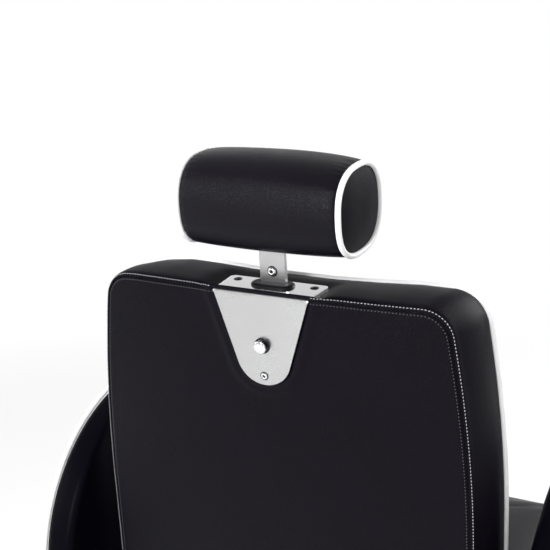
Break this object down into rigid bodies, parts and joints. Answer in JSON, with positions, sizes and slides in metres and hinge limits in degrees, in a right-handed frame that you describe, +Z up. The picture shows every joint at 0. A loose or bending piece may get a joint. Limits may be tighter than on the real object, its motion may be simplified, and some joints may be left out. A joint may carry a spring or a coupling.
{
  "type": "hydraulic barber chair",
  "caption": "Barber chair on a round base: pump lift, swivel seat, round padded arms, reclining back linked to a legrest, and a sliding bolster headrest.",
  "frame": {"origin": "middle of the floor plate's underside, on the floor below the column", "axes": "+Z up along the column, the chair faces -Y, +X to the sitter's left"},
  "size_m": [0.7992, 0.9502, 1.1679],
  "materials": {
    "cast_plate": "matte",
    "chrome": "polished",
    "stainless": "polished",
    "black_steel": "satin",
    "fastener": "satin",
    "black_leather": "satin",
    "white_piping": "satin",
    "plywood": "matte",
    "rubber": "matte",
    "black_plastic": "satin",
    "bronze": "satin"
  },
  "bodies": {
    "base": {"floor_plate": "cast_plate", "base_trim": "rubber", "base_dome": "chrome", "dome_collar": "chrome", "pump_housing": "black_steel", "pump_bolts": "fastener", "gland_ring": "chrome", "pedal_pin": "fastener"},
    "plunger": {"pump_plunger": "chrome"},
    "pedal": {"pedal_lever": "chrome", "pedal_pad": "rubber"},
    "lift": {"ram": "chrome", "swivel_washer": "bronze"},
    "seat": {"seat_mount": "black_steel", "mount_bolts": "fastener", "seat_frame": "black_steel", "seat_board": "plywood", "seat_cushion": "black_leather", "seat_piping": "white_piping", "arm_board_left": "plywood", "arm_board_right": "plywood", "arm_pad_left": "black_leather", "arm_pad_right": "black_leather", "arm_piping_left": "white_piping", "arm_piping_right": "white_piping", "arm_spacers": "chrome", "arm_bolts": "fastener", "pivot_pins": "fastener", "lever_bush": "bronze"},
    "lever": {"release_lever": "chrome", "lever_grip": "rubber"},
    "gas_tube": {"gas_cylinder": "black_steel"},
    "gas_piston": {"gas_rod": "chrome"},
    "link": {"legrest_link": "chrome"},
    "legrest": {"legrest_frame": "chrome", "calf_board": "plywood", "calf_pad": "black_leather", "calf_piping": "white_piping", "footplate_pin": "fastener"},
    "footrest": {"footplate": "chrome", "footplate_tread": "rubber"},
    "back": {"back_iron_left": "black_steel", "back_iron_right": "black_steel", "back_bolts": "fastener", "back_core": "plywood", "back_panel": "black_leather", "back_cushion": "black_leather", "back_piping": "white_piping", "headrest_plate": "stainless", "plate_screws": "fastener", "bar_grommet": "black_plastic", "bar_guide": "black_steel", "button_bush": "chrome"},
    "button": {"release_button": "chrome", "latch_dog": "fastener"},
    "headrest": {"headrest_bar": "stainless", "bar_screws": "fastener", "headrest_block": "plywood", "headrest_cushion": "black_leather", "headrest_piping": "white_piping"}
  },
  "joints": [
    {"name": "pedal_stroke", "type": "hinge", "parent": "base", "child": "pedal", "pos_m": [0, 0.06, 0.176], "axis": [-1, 0, 0], "range_deg": [0, 12], "stiffness_Nm_per_rad": 12, "springref_deg": -17.19},
    {"name": "plunger_stroke", "type": "slide", "parent": "base", "child": "plunger", "axis": [0, 0, -1], "range_m": [0, 0.0064]},
    {"name": "lift", "type": "slide", "parent": "base", "child": "lift", "axis": [0, 0, 1], "range_m": [0, 0.15]},
    {"name": "swivel", "type": "hinge", "parent": "lift", "child": "seat", "pos_m": [0, 0, 0.32], "axis": [0, 0, 1], "continuous": true},
    {"name": "recline", "type": "hinge", "parent": "seat", "child": "back", "pos_m": [0, 0.235, 0.4], "axis": [-1, 0, 0], "range_deg": [0, 45]},
    {"name": "link_rear_pivot", "type": "hinge", "parent": "back", "child": "link", "pos_m": [0, 0.26179, 0.33533], "axis": [-1, 0, 0], "range_deg": [-45.1, 0]},
    {"name": "legrest_swing", "type": "hinge", "parent": "seat", "child": "legrest", "pos_m": [0, -0.27, 0.35], "axis": [-1, 0, 0], "range_deg": [0, 45.1]},
    {"name": "gas_tube_pivot", "type": "hinge", "parent": "seat", "child": "gas_tube", "pos_m": [0, -0.215, 0.305], "axis": [1, 0, 0], "range_deg": [0, 0.5]},
    {"name": "gas_piston_slide", "type": "slide", "parent": "gas_tube", "child": "gas_piston", "axis": [0, 0.9977, 0.0682], "range_m": [-0.05, 0]},
    {"name": "footplate_flip", "type": "hinge", "parent": "legrest", "child": "footrest", "pos_m": [0, -0.408, 0.14], "axis": [-1, 0, 0], "range_deg": [0, 95]},
    {"name": "lever_release", "type": "hinge", "parent": "seat", "child": "lever", "pos_m": [-0.24, 0.06, 0.274], "axis": [-1, 0, 0], "range_deg": [0, 18], "stiffness_Nm_per_rad": 4, "springref_deg": -14.32},
    {"name": "button_press", "type": "slide", "parent": "back", "child": "button", "axis": [0, -0.993, 0.1184], "range_m": [0, 0.003], "stiffness_N_per_m": 1500, "springref_m": -0.002},
    {"name": "headrest_height", "type": "slide", "parent": "back", "child": "headrest", "axis": [0, 0.1184, 0.993], "range_m": [-0.006, 0.1]}
  ],
  "couplings": [
    {"joint": "plunger_stroke", "follows": "pedal_stroke", "m_per_rad": 0.03},
    {"joint": "link_rear_pivot", "follows": "recline", "ratio": -1},
    {"joint": "legrest_swing", "follows": "recline", "ratio": 1},
    {"joint": "gas_tube_pivot", "follows": "recline", "ratio": 0.010136},
    {"joint": "gas_piston_slide", "follows": "recline", "m_per_rad": -0.063177}
  ]
}
